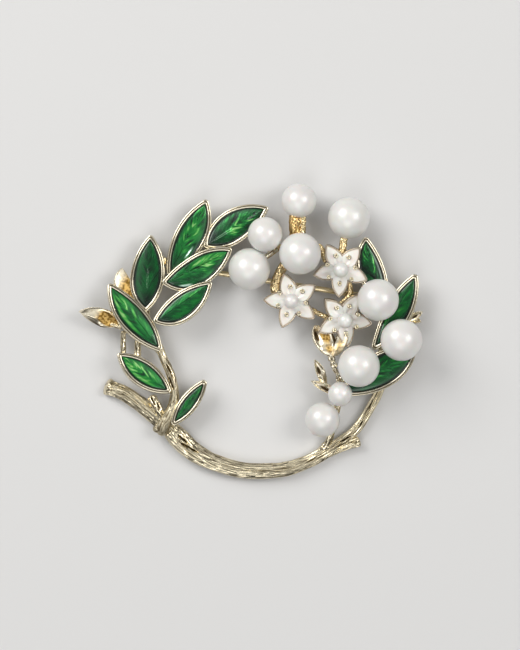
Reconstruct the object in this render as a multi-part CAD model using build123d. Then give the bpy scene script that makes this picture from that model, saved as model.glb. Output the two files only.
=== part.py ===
from build123d import *
import math
import os

# A wreath brooch that lies on its back: X to the right, Y up the picture, Z towards the viewer.
# The model is built about the middle of the branch ring, with Z = 0 at the plane it lies on.

# Driving sizes, in millimetres
ring_radius = 19.4        # from the middle of the ring to the middle of the branch
growth = ring_radius / 19.4    # leaves, flowers, pearls and pin grow with the ring by this
branch_width = 2.5        # the branch, seen from the front
branch_height = 2.3       # the branch, from its flat back to its crest
back_depth = 2.0          # from the lying plane to the backs of the leaves: room for the pin
leaf_length = 12.0 * growth    # a full leaf over its rim
leaf_half_width = 3.0 * growth  # from a full leaf's middle line to the outside of its rim
leaf_thickness = 1.3
leaf_step = 0.8           # how far one leaf lies in front of the next
leaf_draft = 0.16         # how far the foot of a leaf's side wall stands outside its rim
rim_width = 0.5
cell_depth = 0.7          # depth of the cell that holds the enamel
rim_proud = 0.1           # how far the rim stands above the enamel's edge
enamel_crown = 0.16       # how far the middle of the enamel rises above its edge
crown_inset = 0.7         # from the enamel's edge to its raised middle
blade_thickness = 0.75    # the plain gold leaves
flower_radius = 4.1 * growth   # from a flower's middle to the point of a petal
flower_thickness = 1.0
flower_rim = 0.26
flower_cell_depth = 0.45
stamen_reach = 2.08 * growth   # from a flower's middle to its stamens
stamen_turn = 9.5         # from the first petal to the first stamen, degrees
stamen_diameter = 0.44
stamen_height = 0.3       # above the flower's rim
large_pearl = 6.0 * growth
medium_pearl = 5.0 * growth
small_pearl = 3.5 * growth
flower_pearl = 2.2
peg_diameter = 0.8
flower_peg_diameter = 0.55
pearl_sink = 0.15         # how far a pearl sits down into its seat
pearl_gap = 0.1           # between pearls that lie side by side
twig_diameter = 1.0
pin_length = 27.5 * growth     # from the hinge's middle to the catch's middle
pin_diameter = 0.8
pin_angle = 9.0           # the stem falls to the right by this many degrees
pin_x = 4.6 * growth           # middle of the stem, from the middle of the ring
pin_y = 8.2 * growth
barrel_diameter = 1.8     # the hinge's and the catch's round bodies, across the stem
barrel_length = 2.4
pad_length = 3.0          # the pads that hold them to the casting
pad_width = 2.2
pad_bite = 0.25           # how far a pad would reach into what it is soldered to, before it is fitted
fit_gap = 0.05            # between one piece and the next

petal_count = 5
stamen_count = 7
below_all = 5.0           # a block this deep trims the backs level

# The branch, from its cut end at the left, round the foot of the wreath and up the right side
# angle, in degrees; reach, share of ring_radius; width, share of branch_width; height, share of branch_height
branch_rows = [
    (198, 1.115, 0.80, 0.72),
    (205, 0.991, 0.86, 0.78),
    (214, 0.922, 0.94, 0.86),
    (229, 0.887, 1.06, 0.96),
    (241, 0.924, 1.14, 1.00),
    (254, 0.948, 1.00, 0.96),
    (268, 0.971, 0.95, 0.92),
    (284, 0.994, 0.88, 0.86),
    (294, 1.001, 0.78, 0.80),
    (306, 1.008, 0.70, 0.76),
    (319, 1.029, 0.58, 0.74),
    (330, 1.025, 0.54, 0.78),
    (339, 1.032, 0.52, 0.84),
    (350, 1.026, 0.50, 0.94),
    (359, 0.963, 0.50, 1.00),
]

# The leaves that hold enamel
# name; foot x and y, shares of ring_radius; heading, degrees; length, share of leaf_length;
# left and right bulge, shares of leaf_half_width; left and right belly, shares of the leaf's own length;
# level, counted in leaf_step; lean about the leaf's length and pitch of its tip, degrees
leaf_rows = [
    ("enamel_left_1", -0.600, 0.496, 63, 0.97, 0.64, 0.82, 0.52, 0.55, 0.0, 5, 2),
    ("enamel_left_2", -0.326, 0.694, 32, 0.86, 0.86, 0.70, 0.47, 0.42, 0.0, -5, 2),
    ("enamel_left_3", -0.637, 0.422, 27, 0.89, 0.55, 0.94, 0.60, 0.40, 1.0, 4, 1),
    ("enamel_left_4", -0.696, 0.133, 35, 0.80, 0.50, 0.82, 0.49, 0.43, 2.0, -4, 1),
    ("enamel_left_5", -0.770, 0.222, 86, 0.88, 0.82, 0.76, 0.38, 0.47, 0.0, -5, 1),
    ("enamel_left_6", -0.674, -0.074, 128, 0.97, 0.74, 0.58, 0.55, 0.44, 1.0, 9, -2),
    ("enamel_left_7", -0.604, -0.385, 144, 0.74, 0.62, 0.57, 0.52, 0.50, 0.4, 7, 1),
    ("enamel_left_8", -0.570, -0.615, 53, 0.62, 0.40, 0.42, 0.48, 0.48, 0.2, 4, 2),
    ("enamel_right_1", 0.985, 0.274, 106, 0.80, 0.77, 0.49, 0.55, 0.42, 0.0, 4, 1),
    ("enamel_right_2", 0.926, -0.059, 60, 0.99, 0.48, 0.74, 0.60, 0.51, 0.6, -4, 1),
    ("enamel_right_3", 0.689, -0.393, 32, 1.02, 0.78, 0.88, 0.55, 0.58, 0.0, 3, 1),
]

# The plain gold leaves: the columns are those of the enamel leaves
blade_rows = [
    ("upper_left", -0.835, 0.237, 112, 0.52, 0.70, 0.18, 0.60, 0.50, 0.0, 8, 3),
    ("far_left", -0.978, 0.112, 160, 0.50, 0.34, 0.54, 0.45, 0.38, 0.4, -12, 2),
    ("right_upper", 1.150, 0.130, 34, 0.25, 0.20, 0.16, 0.50, 0.50, 0.8, 10, 5),
    ("right_lower", 1.140, 0.160, -15, 0.22, 0.22, 0.16, 0.50, 0.50, 0.3, -12, 6),
    ("calyx_left", 0.607, -0.133, 120, 0.45, 0.42, 0.58, 0.55, 0.50, 0.6, 10, 3),
    ("calyx_right", 0.615, -0.130, 60, 0.38, 0.30, 0.30, 0.50, 0.50, 0.7, -10, 3),
    ("bud_upper", 0.563, -0.360, 113, 0.38, 0.18, 0.27, 0.52, 0.50, 0.3, 8, 4),
    ("bud_lower", 0.660, -0.405, 153, 0.38, 0.18, 0.25, 0.50, 0.50, 0.2, -8, 4),
]

# The flowers
# name; middle x and y, shares of ring_radius; turn of the first petal, level in leaf_step, lean and pitch, degrees
flower_rows = [
    ("flower_enamel_1", 0.678, 0.530, 49, 1.5, 6, -4),
    ("flower_enamel_2", 0.313, 0.291, 34, 1.2, 2, -4),
    ("flower_enamel_3", 0.689, 0.163, 61, 1.2, 12, 10),
]

# The twigs: thickness, share of twig_diameter, then the places that each one passes
# place: x and y, shares of ring_radius, and height of its middle, share of back_depth
# those that pass behind the leaves and flowers
back_twig_rows = [
    ("fork_twig", 1.00, [(0.54, -0.83, 0.5), (0.595, -0.72, 0.8), (0.640, -0.53, 1.05), (0.667, -0.40, 1.2)]),
    ("calyx_twig", 0.75, [(0.667, -0.42, 1.2), (0.644, -0.23, 1.35), (0.607, -0.11, 1.5), (0.69, 0.12, 1.55)]),
    ("cut_stub", 1.25, [(0.62, -0.825, 0.4), (0.71, -0.785, 0.4), (0.79, -0.76, 0.45)]),
    ("left_stem", 1.10, [(-0.667, -0.09, 1.25), (-0.735, 0.03, 1.15), (-0.772, 0.19, 1.1), (-0.725, 0.37, 1.1),
                         (-0.635, 0.60, 1.15)]),
    ("left_crossing", 0.80, [(-0.77, 0.17, 1.1), (-0.83, 0.25, 1.2)]),
    ("left_rod", 0.85, [(-0.941, 0.06, 1.35), (-0.941, -0.14, 1.2)]),
    ("right_rod", 1.00, [(-0.834, -0.01, 1.35), (-0.834, -0.14, 1.2)]),
    ("upper_left_stem", 0.70, [(-0.933, 0.34, 1.4), (-0.91, 0.29, 1.4), (-0.82, 0.24, 1.3)]),
    ("far_left_stem", 0.70, [(-1.04, 0.12, 1.4), (-0.95, 0.09, 1.4)]),
    ("pearl_1_stem", 1.70, [(0.33, 0.66, 1.4), (0.333, 0.80, 1.6), (0.335, 0.96, 1.75)]),
    ("pearl_1_rib", 1.00, [(0.38, 0.68, 1.4), (0.390, 0.80, 1.55), (0.390, 0.95, 1.7)]),
    ("pearl_3_stem", 1.05, [(0.674, 0.56, 1.6), (0.70, 0.77, 1.8), (0.725, 0.87, 1.9)]),
    ("pearl_4_stem", 0.85, [(0.35, 0.66, 1.4), (0.22, 0.69, 1.5), (0.14, 0.63, 1.65)]),
    ("flower_2_stem", 1.45, [(0.36, 0.64, 1.4), (0.25, 0.53, 1.4), (0.18, 0.38, 1.5), (0.26, 0.31, 1.5)]),
    ("flower_1_stem", 1.00, [(0.35, 0.64, 1.4), (0.51, 0.69, 1.5), (0.57, 0.58, 1.65), (0.64, 0.54, 1.65)]),
    ("flower_link", 0.75, [(0.34, 0.28, 1.5), (0.50, 0.20, 1.5), (0.65, 0.14, 1.5)]),
    ("flower_1_link", 0.80, [(0.72, 0.47, 1.6), (0.74, 0.35, 1.6), (0.65, 0.24, 1.5)]),
    ("pearl_6_stem", 1.00, [(0.963, -0.02, 1.1), (0.99, 0.15, 1.15), (0.96, 0.31, 1.15)]),
    ("pearl_7_stem", 1.00, [(0.985, -0.03, 1.1), (1.11, 0.01, 1.2), (1.18, 0.15, 1.35)]),
    ("pearl_8_stem", 1.00, [(0.670, -0.31, 1.10), (0.80, -0.19, 1.2), (0.90, -0.24, 1.15)]),
]

# and those that pass in front of them
front_twig_rows = [
    ("vine", 1.30, [(-0.667, -0.06, 1.4), (-0.615, -0.18, 1.45), (-0.560, -0.35, 1.45), (-0.585, -0.52, 1.3),
                    (-0.635, -0.63, 0.95)]),
    ("vine_foot", 2.00, [(-0.612, -0.60, 0.95), (-0.650, -0.66, 0.80)]),
    ("short_stub", 1.35, [(-0.726, -0.42, 1.15), (-0.685, -0.50, 1.0), (-0.655, -0.57, 0.75)]),
]

# The pearls
# name; x and y, shares of ring_radius; diameter; height of the seat; foot of the peg, as a place of the twigs
leaf_seat = back_depth + leaf_thickness
front_seat = leaf_seat + 0.6 * leaf_step
open_seat = 0.5 * back_depth
pin_seat = (barrel_diameter + pin_diameter) / 2 + pearl_gap
twig_seat = 1.4 * back_depth + twig_diameter / 2
pearl_rows = [
    ("pearl_1", 0.363, 1.033, medium_pearl, open_seat, (0.363, 0.83, 1.6)),
    ("pearl_3", 0.733, 0.904, large_pearl, open_seat, (0.692, 0.70, 1.7)),
    ("pearl_4", -0.005, 0.526, large_pearl, pin_seat, (0.21, 0.68, 1.5)),
    ("pearl_2", 0.111, 0.781, medium_pearl, leaf_seat, (0.19, 0.67, 1.5)),
    ("pearl_5", 0.370, 0.639, large_pearl, twig_seat, (0.370, 0.639, 1.4)),
    ("pearl_6", 0.946, 0.296, large_pearl, front_seat, (0.946, 0.296, 1.2)),
    ("pearl_7", 1.119, 0.000, large_pearl, front_seat, (1.119, 0.000, 1.2)),
    ("pearl_8", 0.805, -0.193, large_pearl, front_seat, (0.805, -0.193, 1.2)),
    ("pearl_9", 0.537, -0.591, medium_pearl, open_seat, (0.615, -0.69, 0.9)),
    ("pearl_10", 0.667, -0.400, small_pearl, twig_seat, (0.667, -0.400, 1.2)),
]


def place(x, y, height):
    """A place of the tables, in millimetres."""
    return Vector(x * ring_radius, y * ring_radius, height * back_depth)


def lens(length, left, right, left_belly, right_belly):
    """A leaf's outline, foot at the origin and tip along X: two arcs a side that run level at the belly."""
    foot = (0, 0)
    tip = (length, 0)
    edges = []
    for bulge, belly in ((left, left_belly), (-right, right_belly)):
        widest = (belly * length, bulge)
        edges.append(TangentArc(widest, foot, tangent=(-1, 0)))
        edges.append(TangentArc(widest, tip, tangent=(1, 0)))
    return make_face(edges)


def on_leaf(row):
    """Where a leaf's own plane lies: its back at Z = 0, its foot at the origin."""
    _, x, y, heading, _, _, _, _, _, level, lean, pitch = row
    height = back_depth + level * leaf_step
    return Pos(x * ring_radius, y * ring_radius, height) * Rot(0, 0, heading) * Rot(lean, -pitch, 0)


def cell_outline(row):
    """The enamel's cell in a leaf, set in from the leaf's outline by the rim."""
    _, _, _, _, length, left, right, left_belly, right_belly, _, _, _ = row
    inner_length = length * leaf_length - 2 * rim_width
    inner_left = left * leaf_half_width - rim_width
    inner_right = right * leaf_half_width - rim_width
    return Pos(rim_width, 0) * lens(inner_length, inner_left, inner_right, left_belly, right_belly)


def stack(*layers):
    """A solid through flat outlines, each given with its height."""
    return loft([Pos(0, 0, height) * outline for outline, height in layers], ruled=True)


def leaf_body(row, grow=0.0):
    """A whole leaf without its cell, with side walls that lean in towards the rim."""
    cell = cell_outline(row)
    foot = offset(cell, rim_width + leaf_draft + grow)
    rim = offset(cell, rim_width + grow)
    return on_leaf(row) * stack((foot, -grow), (rim, leaf_thickness + grow))


def leaf_cell(row):
    """What is cut out of a leaf for its enamel."""
    floor = leaf_thickness - cell_depth
    return on_leaf(row) * Pos(0, 0, floor) * extrude(cell_outline(row), 2 * cell_depth, dir=(0, 0, 1))


def leaf_enamel(row):
    """The enamel of a leaf, level with its rim at the edge and raised in the middle."""
    cell = cell_outline(row)
    edge = offset(cell, -fit_gap)
    middle = offset(cell, -fit_gap - crown_inset * min(row[5], row[6]))
    edge_height = leaf_thickness - rim_proud
    floor = leaf_thickness - cell_depth + fit_gap
    layers = ((edge, floor), (edge, edge_height), (middle, edge_height + enamel_crown))
    return on_leaf(row) * stack(*layers)


def blade(row, grow=0.0):
    """A plain gold leaf."""
    _, _, _, _, length, left, right, left_belly, right_belly, _, _, _ = row
    outline = lens(length * leaf_length, left * leaf_half_width, right * leaf_half_width, left_belly, right_belly)
    if grow:
        outline = offset(outline, grow)
    return on_leaf(row) * Pos(0, 0, -grow) * extrude(outline, blade_thickness + 2 * grow, dir=(0, 0, 1))


def on_flower(row):
    """Where a flower's own plane lies: the back of its plate at Z = 0."""
    _, x, y, turn, level, lean, pitch = row
    height = back_depth + level * leaf_step
    return Pos(x * ring_radius, y * ring_radius, height) * Rot(lean, pitch, 0) * Rot(0, 0, turn)


def star():
    """The enamel's cell in a flower: five pointed petals with bulging sides."""
    tip = flower_radius - flower_rim
    valley = 0.46 * tip
    side = 0.74 * tip
    half = 180 / petal_count
    edges = []
    for petal in range(petal_count):
        turn = petal * 2 * half
        for hand in (-1, 1):
            start = Vector(valley, 0).rotate(Axis.Z, turn + hand * half)
            middle = Vector(side, 0).rotate(Axis.Z, turn + hand * 0.43 * half)
            end = Vector(tip, 0).rotate(Axis.Z, turn)
            edges.append(ThreePointArc(start, middle, end))
    return make_face(edges)


def flower_body(row, grow=0.0):
    """A flower's plate without its cell."""
    outline = offset(star(), flower_rim + grow)
    return on_flower(row) * Pos(0, 0, -grow) * extrude(outline, flower_thickness + 2 * grow, dir=(0, 0, 1))


def flower_cell(row):
    """What is cut out of a flower's plate for its enamel."""
    floor = flower_thickness - flower_cell_depth
    return on_flower(row) * Pos(0, 0, floor) * extrude(star(), 2 * flower_cell_depth, dir=(0, 0, 1))


def flower_enamel(row):
    """The white enamel of a flower."""
    floor = flower_thickness - flower_cell_depth + fit_gap
    outline = offset(star(), -fit_gap)
    height = flower_cell_depth - fit_gap
    return on_flower(row) * Pos(0, 0, floor) * extrude(outline, height, dir=(0, 0, 1))


def stamens(row, grow=0.0):
    """The small posts that stand through a flower's enamel, and the peg of its pearl."""
    posts = []
    bottom = flower_thickness - flower_cell_depth - fit_gap
    height = flower_cell_depth + fit_gap + stamen_height + grow
    for index in range(stamen_count):
        spot = Vector(stamen_reach, 0).rotate(Axis.Z, stamen_turn + 360 / stamen_count * index)
        post = Cylinder(stamen_diameter / 2 + grow, height, align=(Align.CENTER, Align.CENTER, Align.MIN))
        posts.append(on_flower(row) * Pos(spot.X, spot.Y, bottom) * post)
    peg_height = flower_thickness - bottom + flower_pearl / 2
    peg = Cylinder(flower_peg_diameter / 2 + grow, peg_height, align=(Align.CENTER, Align.CENTER, Align.MIN))
    posts.append(on_flower(row) * Pos(0, 0, bottom) * peg)
    return posts


def rod(start, end, diameter):
    """A straight round rod between two places."""
    reach = end - start
    line = Plane(origin=start, z_dir=reach)
    return line * Cylinder(diameter / 2, reach.length, align=(Align.CENTER, Align.CENTER, Align.MIN))


def twig(row, grow=0.0):
    """A twig: a round wire bent through its places, with rounded ends."""
    _, thickness, spots = row
    radius = thickness * twig_diameter / 2 + grow
    places = [place(*spot) for spot in spots]
    if len(places) > 2:
        path = FilletPolyline(*places, radius=0.8 * twig_diameter)
    else:
        path = Line(*places)
    section = Plane(origin=path @ 0, z_dir=path % 0) * Circle(radius)
    wire = sweep(section, path=path)
    return wire + Pos(path @ 0) * Sphere(radius) + Pos(path @ 1) * Sphere(radius)


def branch(grow=0.0):
    """The ring branch: sections with a flat back, straight sides and a round crest, drawn round the ring."""
    sections = []
    for angle, reach, width, height in branch_rows:
        half = width * branch_width / 2 + grow
        crest = height * branch_height + grow
        shoulder = crest - half
        back = -fit_gap - grow
        sides = Polyline((half, shoulder), (half, back), (-half, back), (-half, shoulder))
        arch = ThreePointArc((-half, shoulder), (0, crest), (half, shoulder))
        middle = Vector(reach * ring_radius, 0).rotate(Axis.Z, angle)
        plane = Plane(origin=middle, x_dir=middle, z_dir=middle.cross(Vector(0, 0, 1)))
        sections.append(plane * make_face([*sides.edges(), arch]))
    return loft(sections)


def pearl_centres():
    """Where the pearls' middles are: each on its seat, and raised until it clears those before it."""
    centres = {}
    placed = []
    for name, x, y, diameter, seat, _ in pearl_rows:
        radius = diameter / 2
        spot = place(x, y, 0)
        height = seat + radius - pearl_sink
        for other, other_radius in placed:
            apart = radius + other_radius + pearl_gap
            aside = math.hypot(spot.X - other.X, spot.Y - other.Y)
            if aside < apart:
                rise = math.sqrt(apart ** 2 - aside ** 2)
                if abs(height - other.Z) < rise:
                    height = other.Z + rise
        centre = Vector(spot.X, spot.Y, height)
        centres[name] = centre
        placed.append((centre, radius))
    return centres


def pearl_hole_depth(diameter):
    """How far a pearl is drilled past its middle."""
    return 0.15 * diameter


def peg(row, centres, grow=0.0):
    """The peg that a pearl is glued on, from the twig or leaf to the pearl's middle."""
    name, _, _, diameter, _, foot = row
    start = place(*foot)
    centre = centres[name]
    reach = centre - start
    end = centre + reach.normalized() * (pearl_hole_depth(diameter) if grow else 0)
    return rod(start, end, peg_diameter + 2 * grow)


def near(one, other):
    """Whether two solids' boxes meet."""
    a = one.bounding_box(optimal=False)
    b = other.bounding_box(optimal=False)
    return all(
        low < high
        for low, high in (
            (a.min.X, b.max.X), (b.min.X, a.max.X),
            (a.min.Y, b.max.Y), (b.min.Y, a.max.Y),
            (a.min.Z, b.max.Z), (b.min.Z, a.max.Z),
        )
    )


def cut(solid, tools):
    """A solid less each of the tools that comes near it."""
    close = [tool for tool in tools if near(solid, tool)]
    return solid - close if close else solid


def pin():
    """The pin: two round bodies on pads, the hinge and the catch, with the stem between them."""
    axis_height = barrel_diameter / 2
    line = Pos(pin_x, pin_y, 0) * Rot(0, 0, -pin_angle)
    stem = Pos(0, 0, axis_height) * Rot(0, 90, 0) * Cylinder(pin_diameter / 2, pin_length)
    body = line * stem
    for side, level in ((-1, 1), (1, 0)):
        top = back_depth + level * leaf_step + pad_bite
        middle = side * pin_length / 2
        barrel = Pos(middle, 0, axis_height) * Rot(90, 0, 0) * Cylinder(barrel_diameter / 2, barrel_length)
        pad_height = top - axis_height
        pad = Box(pad_length, pad_width, pad_height, align=(Align.CENTER, Align.CENTER, Align.MIN))
        body = body + line * barrel + line * Pos(middle, 0, axis_height) * pad
    return body


# The cells, from the back of the brooch to the front: what lies in front ends the enamel behind it
leaf_order = sorted(leaf_rows, key=lambda row: row[9])
cells = [(row[0], leaf_body(row), leaf_body(row, fit_gap), leaf_cell(row), leaf_enamel(row)) for row in leaf_order]
for row in flower_rows:
    cells.append((row[0], flower_body(row), flower_body(row, fit_gap), flower_cell(row), flower_enamel(row)))

centres = pearl_centres()
pearl_seats = [Pos(centres[row[0]]) * Sphere(row[3] / 2 + fit_gap) for row in pearl_rows]
flower_pearl_spots = {}
for row in flower_rows:
    spot = on_flower(row) * Pos(0, 0, flower_thickness + flower_pearl / 2 - pearl_sink)
    flower_pearl_spots[row[0]] = spot
    pearl_seats.append(spot * Sphere(flower_pearl / 2 + fit_gap))

all_cells = [cell for _, _, _, cell, _ in cells]
behind = [branch()] + [twig(row) for row in back_twig_rows] + [blade(row) for row in blade_rows]
behind_grown = [branch(fit_gap)] + [twig(row, fit_gap) for row in back_twig_rows]
behind_grown += [blade(row, fit_gap) for row in blade_rows]
front = [twig(row) for row in front_twig_rows]
front_grown = [twig(row, fit_gap) for row in front_twig_rows]
pegs = [peg(row, centres) for row in pearl_rows]
pegs_grown = [peg(row, centres, fit_gap) for row in pearl_rows]
for row in flower_rows:
    pegs += stamens(row)
    pegs_grown += stamens(row, fit_gap)

# The casting
metal = [cut(piece, all_cells) for piece in behind]
for index, (_, body, _, _, _) in enumerate(cells):
    metal.append(cut(body, all_cells[index:]))
metal += front
metal = [cut(piece, pearl_seats) for piece in metal] + pegs
casting = metal[0].fuse(*metal[1:])
trim = Box(4 * ring_radius, 4 * ring_radius, below_all, align=(Align.CENTER, Align.CENTER, Align.MAX))
casting = casting - trim

# The enamel, ended by all that lies in front of it
nodes = {}
for index, (name, _, _, _, enamel) in enumerate(cells):
    in_front = [grown for _, _, grown, _, _ in cells[index + 1:]]
    nodes[name] = cut(enamel, in_front + front_grown + pegs_grown + pearl_seats)

# The pearls, drilled for their pegs
for row in pearl_rows:
    name, _, _, diameter, _, _ = row
    nodes[name] = Pos(centres[name]) * Sphere(diameter / 2) - peg(row, centres, fit_gap)
for number, row in enumerate(flower_rows, start=1):
    hole = on_flower(row) * Cylinder(flower_peg_diameter / 2 + fit_gap, 2 * (flower_thickness + flower_pearl))
    nodes[f"flower_pearl_{number}"] = flower_pearl_spots[row[0]] * Sphere(flower_pearl / 2) - hole

# The pin, fitted to the backs of what it is soldered to
backs = behind_grown + [grown for _, _, grown, _, _ in cells]
nodes["pin_back"] = cut(pin(), backs)
nodes["gold_casting"] = casting

# The origin is under the middle of the whole, at the plane that it lies on
boxes = [solid.bounding_box() for solid in nodes.values()]
middle_x = (min(box.min.X for box in boxes) + max(box.max.X for box in boxes)) / 2
middle_y = (min(box.min.Y for box in boxes) + max(box.max.Y for box in boxes)) / 2
bottom = min(box.min.Z for box in boxes)

os.makedirs("parts", exist_ok=True)
for name, solid in nodes.items():
    export_step(Pos(-middle_x, -middle_y, -bottom) * solid, f"parts/{name}.step")
print("moved by", -middle_x, -middle_y, -bottom)
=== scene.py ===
import bmesh
import bpy
from math import asin, atan2, copysign, cos, exp, hypot, pi, radians, sin, sqrt, tau
from mathutils import Matrix, Vector


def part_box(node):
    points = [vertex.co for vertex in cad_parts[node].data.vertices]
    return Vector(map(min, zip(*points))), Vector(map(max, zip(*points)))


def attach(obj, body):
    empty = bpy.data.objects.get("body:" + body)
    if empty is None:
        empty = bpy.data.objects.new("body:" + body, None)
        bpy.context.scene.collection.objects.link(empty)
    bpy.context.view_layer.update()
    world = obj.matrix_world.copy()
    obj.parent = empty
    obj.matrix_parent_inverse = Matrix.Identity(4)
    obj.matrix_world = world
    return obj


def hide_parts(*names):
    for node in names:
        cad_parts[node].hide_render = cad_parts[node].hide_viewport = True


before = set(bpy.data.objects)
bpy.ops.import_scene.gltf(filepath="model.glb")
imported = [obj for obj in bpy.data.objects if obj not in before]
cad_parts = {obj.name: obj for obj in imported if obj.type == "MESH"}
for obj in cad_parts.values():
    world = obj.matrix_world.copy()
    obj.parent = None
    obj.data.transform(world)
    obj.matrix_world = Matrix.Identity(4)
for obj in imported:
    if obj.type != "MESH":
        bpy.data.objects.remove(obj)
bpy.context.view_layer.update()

# The table and the light
# The brooch lies face up on a pale matt floor and is seen from straight above, as the photograph shows it.
# A large soft light stands at the upper left, a smaller one at the right, and the room above is pale.
mm = 0.001
ring_radius = 19.4
low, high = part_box("pearl_6")
# where the middle of the ring is, mm: pearl_6 stands at these shares of the ring's radius from it
shift = Vector((
    (low.x + high.x) / 2 / mm - 0.946 * ring_radius, (low.y + high.y) / 2 / mm - 0.296 * ring_radius, 0,
))


def at(x, y, height=0):
    """A place in millimetres from the middle of the ring: x and y in shares of the ring's radius."""
    return Vector((x * ring_radius, y * ring_radius, height))


def put(name, data):
    """A new object in the scene."""
    made = bpy.data.objects.new(name, data)
    bpy.context.scene.collection.objects.link(made)
    return made


def sum_of(operation, swapped=False):
    """A way of reckoning that adds its own Math node."""
    def reckon(self, *others):
        values = (*others, self) if swapped else (self, *others)
        return self.recipe.node("ShaderNodeMath", {"operation": operation}, *values)
    return reckon


def spaced(named):
    """Sockets by the names that keywords spell with underscores."""
    return {name.replace("_", " "): value for name, value in named.items()}


class Reading:
    """A socket that can be reckoned with."""

    __add__ = __radd__ = sum_of("ADD")
    __mul__ = __rmul__ = sum_of("MULTIPLY")
    __sub__ = sum_of("SUBTRACT")
    __rsub__ = sum_of("SUBTRACT", swapped=True)
    __truediv__ = sum_of("DIVIDE")
    __pow__ = sum_of("POWER")
    __abs__ = sum_of("ABSOLUTE")
    least = sum_of("MINIMUM")
    most = sum_of("MAXIMUM")
    cosine = sum_of("COSINE")
    sine = sum_of("SINE")

    def __init__(self, recipe, socket):
        self.recipe = recipe
        self.socket = socket

    def also(self, name):
        """Another output of the same node."""
        return Reading(self.recipe, self.socket.node.outputs[name])

    def ramp(self, start, end):
        """Eased from 0 at start to 1 at end."""
        settings = {"interpolation_type": "SMOOTHSTEP"}
        return self.recipe.node("ShaderNodeMapRange", settings, self, start, end, 0, 1)


class Recipe:
    """The nodes of one material, or of one way of making."""

    def __init__(self, tree):
        self.tree = tree

    def feed(self, node, values):
        open_sockets = [socket for socket in node.inputs if socket.enabled]
        for key, value in values.items():
            named = [socket for socket in open_sockets if socket.name == key]
            socket = named[0] if named else open_sockets[key]
            if isinstance(value, Reading):
                self.tree.links.new(value.socket, socket)
            else:
                socket.default_value = value

    def node(self, kind, settings=None, *values, **named):
        """A node of that kind: its settings first, then the values or readings that its sockets take."""
        made = self.tree.nodes.new(kind)
        for name, value in (settings or {}).items():
            if name == "stops":
                while len(made.color_ramp.elements) < len(value):
                    made.color_ramp.elements.new(0.5)
                for element, (position, colour) in zip(made.color_ramp.elements, value):
                    element.position = position
                    element.color = (*colour, 1)
            else:
                setattr(made, name, value)
        self.feed(made, dict(enumerate(values)))
        self.feed(made, spaced(named))
        outputs = [socket for socket in made.outputs if socket.enabled]
        return Reading(self, outputs[0]) if outputs else made

    def colour(self, factor, first, second):
        """One colour turning into another."""
        ends = [end if isinstance(end, Reading) else (*end, 1) for end in (first, second)]
        return self.node("ShaderNodeMix", {"data_type": "RGBA"}, Factor=factor, A=ends[0], B=ends[1])

    def vector(self, operation, *values, **named):
        return self.node("ShaderNodeVectorMath", {"operation": operation}, *values, **named)

    def noise(self, place, scale, detail, **named):
        return self.node("ShaderNodeTexNoise", Vector=place, Scale=scale, Detail=detail, **named)


class Finish(Recipe):
    """A material: its recipe and its shader, whose constant sockets are set at the start."""

    def __init__(self, name, **constants):
        self.material = bpy.data.materials.new(name)
        self.material.use_nodes = True
        super().__init__(self.material.node_tree)
        self.shader = self.tree.nodes["Principled BSDF"]
        self.feed(self.shader, spaced(constants))

    def place(self):
        return self.node("ShaderNodeTexCoord").also("Object")

    def mark(self, name, output="Fac"):
        """What is written on the mesh under that name."""
        return self.node("ShaderNodeAttribute", {"attribute_name": name}).also(output)

    def surface(self, colour, relief, depth, strength=1, **named):
        """What varies over it: its colour, a fine relief so many millimetres deep, and any other socket."""
        bump = self.node("ShaderNodeBump", Strength=strength, Distance=depth * mm, Height=relief)
        self.feed(self.shader, {"Base Color": colour, "Normal": bump, **named})


# the photograph is 520 by 650 pixels: the middle of the ring is at (250, 340) and its radius is 135 pixels
pixel = ring_radius / 135
target = (at(0, 0) + shift + Vector(((260 - 250) * pixel, (340 - 325) * pixel, 4))) * mm
camera_distance = 1
camera = put("camera", bpy.data.cameras.new("camera"))
camera.data.sensor_fit = "VERTICAL"
camera.data.sensor_height = 24
camera.data.lens = camera.data.sensor_height * camera_distance / (650 * pixel * mm)
camera.location = target + Vector((0, 0, camera_distance))
bpy.context.scene.camera = camera
bpy.context.scene.view_settings.view_transform = "Standard"

# name; direction towards the light; side, metres; power, watts; colour
light_distance = 0.6
soft_lights = [
    ("light_upper_left", (-0.57, 0.49, 0.66), 0.36, 2.25, (1, 0.99, 0.97)),
    ("light_right", (0.64, 0.18, 0.75), 0.27, 1.15, (1, 0.98, 0.95)),
    ("light_front", (-0.12, -0.55, 0.83), 0.34, 0.5, (1, 1, 1)),
]
for name, direction, side, power, tint in soft_lights:
    light = bpy.data.lights.new(name, "AREA")
    light.shape, light.size, light.energy, light.color = "SQUARE", side, power, tint
    holder = put(name, light)
    towards = Vector(direction).normalized()
    holder.location = towards * light_distance
    holder.rotation_euler = towards.to_track_quat("Z", "Y").to_euler()

room = bpy.data.worlds.new("room")
room.use_nodes = True
bpy.context.scene.world = room
air = Recipe(room.node_tree)
upwards = air.node("ShaderNodeSeparateXYZ", {}, air.node("ShaderNodeTexCoord")).also("Z")
room_colour = air.node("ShaderNodeValToRGB", {"stops": [
    (0, (0.2, 0.2, 0.2)), (0.2, (0.05, 0.048, 0.043)), (0.5, (0.14, 0.135, 0.125)),
    (0.74, (0.34, 0.335, 0.325)), (0.87, (0.92, 0.92, 0.91)), (0.94, (1, 1, 0.99)),
    (0.968, (0.32, 0.32, 0.31)), (1, (0.16, 0.16, 0.155)),
]}, upwards)
air.feed(room.node_tree.nodes["Background"], {"Color": room_colour, "Strength": 0.9})

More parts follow.
